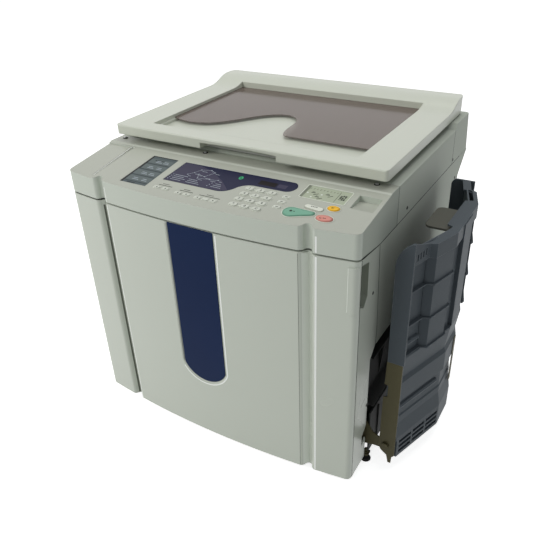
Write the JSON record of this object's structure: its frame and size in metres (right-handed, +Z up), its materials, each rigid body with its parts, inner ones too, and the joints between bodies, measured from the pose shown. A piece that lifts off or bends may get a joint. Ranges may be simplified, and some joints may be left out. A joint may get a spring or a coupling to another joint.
{
  "type": "digital duplicator",
  "caption": "Free-standing office digital duplicator: hinged original cover, sloping key panel, front door, print drum, folding feed and receiving trays.",
  "frame": {"origin": "centre of the bounding box in plan, on the floor under the feet", "axes": "+X to the right as the user faces the machine (the receiving tray side), +Y to the back, +Z up"},
  "size_m": [0.778, 0.645, 0.652],
  "materials": {
    "body_plastic": "fine texture, light grey-green",
    "body_painted_steel": "fine texture, light grey-green",
    "panel_plastic": "fine texture, light grey-green",
    "lid_plastic": "fine texture, warm light grey",
    "pocket_smoked": "smoked, see-through",
    "pad_white": "soft white sheet",
    "platen_glass": "clear",
    "carriage_black": "matte black",
    "display_film": "glossy dark film",
    "stripe_navy": "glossy navy",
    "key_grey": "satin light grey",
    "key_teal": "satin teal",
    "key_pink": "satin pink",
    "key_yellow": "satin yellow",
    "key_white": "satin white",
    "tray_plastic": "fine texture, dark blue-grey",
    "tray_plastic_light": "fine texture, blue-grey",
    "arm_steel": "olive-brown coated steel",
    "bracket_steel": "zinc plated",
    "frame_steel": "zinc-grey sheet steel",
    "pan_steel": "dark grey sheet steel",
    "foot_rubber": "matte black",
    "dark_plastic": "matte charcoal",
    "drum_screen": "fine metal screen",
    "drum_green": "satin green",
    "cartridge_plastic": "satin black",
    "roller_rubber": "ground black rubber",
    "roller_grey": "grey rubber on steel",
    "unit_grey": "matte mid grey",
    "motor_steel": "black coated steel"
  },
  "bodies": {
    "machine": {"base_pan": "pan_steel", "feet": "foot_rubber", "front_frame_plate": "frame_steel", "rear_frame_plate": "frame_steel", "left_front_column": "body_plastic", "right_front_strip": "body_plastic", "left_side_cover": "body_plastic", "right_side_cover": "body_plastic", "exit_panel": "dark_plastic", "rear_cover": "body_painted_steel", "rear_cap": "body_plastic", "control_panel": "panel_plastic", "mode_keys": "key_grey", "panel_windows": "display_film", "door_hinges": "bracket_steel", "scanner_bed": "body_plastic", "platen_glass": "platen_glass", "lid_hinge_mounts": "bracket_steel", "drum_frame": "drum_green", "ink_cartridge": "cartridge_plastic", "master_maker": "unit_grey", "disposal_box": "unit_grey", "main_motor": "motor_steel", "electronics_box": "frame_steel", "tray_brackets": "arm_steel"},
    "lid": {"original_cover": "lid_plastic", "document_pocket": "pocket_smoked", "platen_pad": "pad_white", "lid_hinge_arms": "bracket_steel"},
    "door": {"front_door": "body_plastic", "door_stripe": "stripe_navy"},
    "tray": {"receiving_tray": "tray_plastic", "tray_arms": "arm_steel"},
    "tray_front_fence": {"tray_guide_front": "tray_plastic_light"},
    "tray_rear_fence": {"tray_guide_rear": "tray_plastic_light"},
    "tray_end_stop": {"tray_end_fence": "tray_plastic_light"},
    "drum": {"print_drum": "drum_screen"},
    "press_roll": {"pressure_roller": "roller_rubber"},
    "pickup": {"pickup_roller": "roller_grey"},
    "eject": {"eject_rollers": "roller_grey"},
    "carriage": {"scanner_carriage": "carriage_black"},
    "feeder": {"feed_tray": "tray_plastic"},
    "feeder_front_fence": {"feed_guide_front": "tray_plastic_light"},
    "feeder_rear_fence": {"feed_guide_rear": "tray_plastic_light"},
    "key_0_cap": {"key_0": "key_grey"},
    "key_1_cap": {"key_1": "key_grey"},
    "key_2_cap": {"key_2": "key_grey"},
    "key_3_cap": {"key_3": "key_grey"},
    "key_4_cap": {"key_4": "key_grey"},
    "key_5_cap": {"key_5": "key_grey"},
    "key_6_cap": {"key_6": "key_grey"},
    "key_7_cap": {"key_7": "key_grey"},
    "key_8_cap": {"key_8": "key_grey"},
    "key_9_cap": {"key_9": "key_grey"},
    "key_star_cap": {"key_star": "key_grey"},
    "key_clear_cap": {"key_clear": "key_grey"},
    "start_key_cap": {"start_key": "key_teal"},
    "stop_key_cap": {"stop_key": "key_pink"},
    "reset_key_cap": {"reset_key": "key_yellow"},
    "proof_key_cap": {"proof_key": "key_white"}
  },
  "joints": [
    {"name": "lid_hinge", "type": "hinge", "parent": "machine", "child": "lid", "pos_m": [-0.04, 0.2855, 0.632], "axis": [-1, 0, 0], "range_deg": [0, 75]},
    {"name": "door_hinge", "type": "hinge", "parent": "machine", "child": "door", "pos_m": [-0.256, -0.2985, 0.28], "axis": [0, 0, -1], "range_deg": [0, 105]},
    {"name": "tray_fold", "type": "hinge", "parent": "machine", "child": "tray", "pos_m": [0.323, -0.0515, 0.074], "axis": [0, 1, 0], "range_deg": [0, 88]},
    {"name": "tray_front_guide_slide", "type": "slide", "parent": "tray", "child": "tray_front_fence", "axis": [0, 1, 0], "range_m": [0, 0.06]},
    {"name": "tray_rear_guide_slide", "type": "slide", "parent": "tray", "child": "tray_rear_fence", "axis": [0, 1, 0], "range_m": [-0.06, 0]},
    {"name": "tray_end_fence_slide", "type": "slide", "parent": "tray", "child": "tray_end_stop", "axis": [0, 0, -1], "range_m": [0, 0.08]},
    {"name": "drum_spin", "type": "hinge", "parent": "machine", "child": "drum", "pos_m": [-0.04, -0.0355, 0.38], "axis": [0, 1, 0], "continuous": true},
    {"name": "pressure_roller_spin", "type": "hinge", "parent": "machine", "child": "press_roll", "pos_m": [-0.04, -0.0355, 0.2596], "axis": [0, 1, 0], "continuous": true},
    {"name": "pickup_spin", "type": "hinge", "parent": "machine", "child": "pickup", "pos_m": [-0.324, -0.0355, 0.345], "axis": [0, 1, 0], "continuous": true},
    {"name": "eject_spin", "type": "hinge", "parent": "machine", "child": "eject", "pos_m": [0.23, -0.0355, 0.255], "axis": [0, 1, 0], "continuous": true},
    {"name": "carriage_slide", "type": "slide", "parent": "machine", "child": "carriage", "axis": [1, 0, 0], "range_m": [0, 0.37]},
    {"name": "feed_tray_fold", "type": "hinge", "parent": "machine", "child": "feeder", "pos_m": [-0.374, -0.0345, 0.252], "axis": [0, -1, 0], "range_deg": [0, 88]},
    {"name": "feed_front_guide_slide", "type": "slide", "parent": "feeder", "child": "feeder_front_fence", "axis": [0, 1, 0], "range_m": [0, 0.07]},
    {"name": "feed_rear_guide_slide", "type": "slide", "parent": "feeder", "child": "feeder_rear_fence", "axis": [0, 1, 0], "range_m": [-0.07, 0]},
    {"name": "key_0_press", "type": "slide", "parent": "machine", "child": "key_0_cap", "axis": [0, 0.1345, -0.9909], "range_m": [0, 0.0015], "stiffness_N_per_m": 300},
    {"name": "key_1_press", "type": "slide", "parent": "machine", "child": "key_1_cap", "axis": [0, 0.1345, -0.9909], "range_m": [0, 0.0015], "stiffness_N_per_m": 300},
    {"name": "key_2_press", "type": "slide", "parent": "machine", "child": "key_2_cap", "axis": [0, 0.1345, -0.9909], "range_m": [0, 0.0015], "stiffness_N_per_m": 300},
    {"name": "key_3_press", "type": "slide", "parent": "machine", "child": "key_3_cap", "axis": [0, 0.1345, -0.9909], "range_m": [0, 0.0015], "stiffness_N_per_m": 300},
    {"name": "key_4_press", "type": "slide", "parent": "machine", "child": "key_4_cap", "axis": [0, 0.1345, -0.9909], "range_m": [0, 0.0015], "stiffness_N_per_m": 300},
    {"name": "key_5_press", "type": "slide", "parent": "machine", "child": "key_5_cap", "axis": [0, 0.1345, -0.9909], "range_m": [0, 0.0015], "stiffness_N_per_m": 300},
    {"name": "key_6_press", "type": "slide", "parent": "machine", "child": "key_6_cap", "axis": [0, 0.1345, -0.9909], "range_m": [0, 0.0015], "stiffness_N_per_m": 300},
    {"name": "key_7_press", "type": "slide", "parent": "machine", "child": "key_7_cap", "axis": [0, 0.1345, -0.9909], "range_m": [0, 0.0015], "stiffness_N_per_m": 300},
    {"name": "key_8_press", "type": "slide", "parent": "machine", "child": "key_8_cap", "axis": [0, 0.1345, -0.9909], "range_m": [0, 0.0015], "stiffness_N_per_m": 300},
    {"name": "key_9_press", "type": "slide", "parent": "machine", "child": "key_9_cap", "axis": [0, 0.1345, -0.9909], "range_m": [0, 0.0015], "stiffness_N_per_m": 300},
    {"name": "key_star_press", "type": "slide", "parent": "machine", "child": "key_star_cap", "axis": [0, 0.1345, -0.9909], "range_m": [0, 0.0015], "stiffness_N_per_m": 300},
    {"name": "key_clear_press", "type": "slide", "parent": "machine", "child": "key_clear_cap", "axis": [0, 0.1345, -0.9909], "range_m": [0, 0.0015], "stiffness_N_per_m": 300},
    {"name": "start_key_press", "type": "slide", "parent": "machine", "child": "start_key_cap", "axis": [0, 0.1345, -0.9909], "range_m": [0, 0.0015], "stiffness_N_per_m": 300},
    {"name": "stop_key_press", "type": "slide", "parent": "machine", "child": "stop_key_cap", "axis": [0, 0.1345, -0.9909], "range_m": [0, 0.0015], "stiffness_N_per_m": 300},
    {"name": "reset_key_press", "type": "slide", "parent": "machine", "child": "reset_key_cap", "axis": [0, 0.1345, -0.9909], "range_m": [0, 0.0015], "stiffness_N_per_m": 300},
    {"name": "proof_key_press", "type": "slide", "parent": "machine", "child": "proof_key_cap", "axis": [0, 0.1345, -0.9909], "range_m": [0, 0.0015], "stiffness_N_per_m": 300}
  ],
  "couplings": [
    {"joint": "tray_rear_guide_slide", "follows": "tray_front_guide_slide", "ratio": -1},
    {"joint": "feed_rear_guide_slide", "follows": "feed_front_guide_slide", "ratio": -1},
    {"joint": "pressure_roller_spin", "follows": "drum_spin", "ratio": -3}
  ]
}
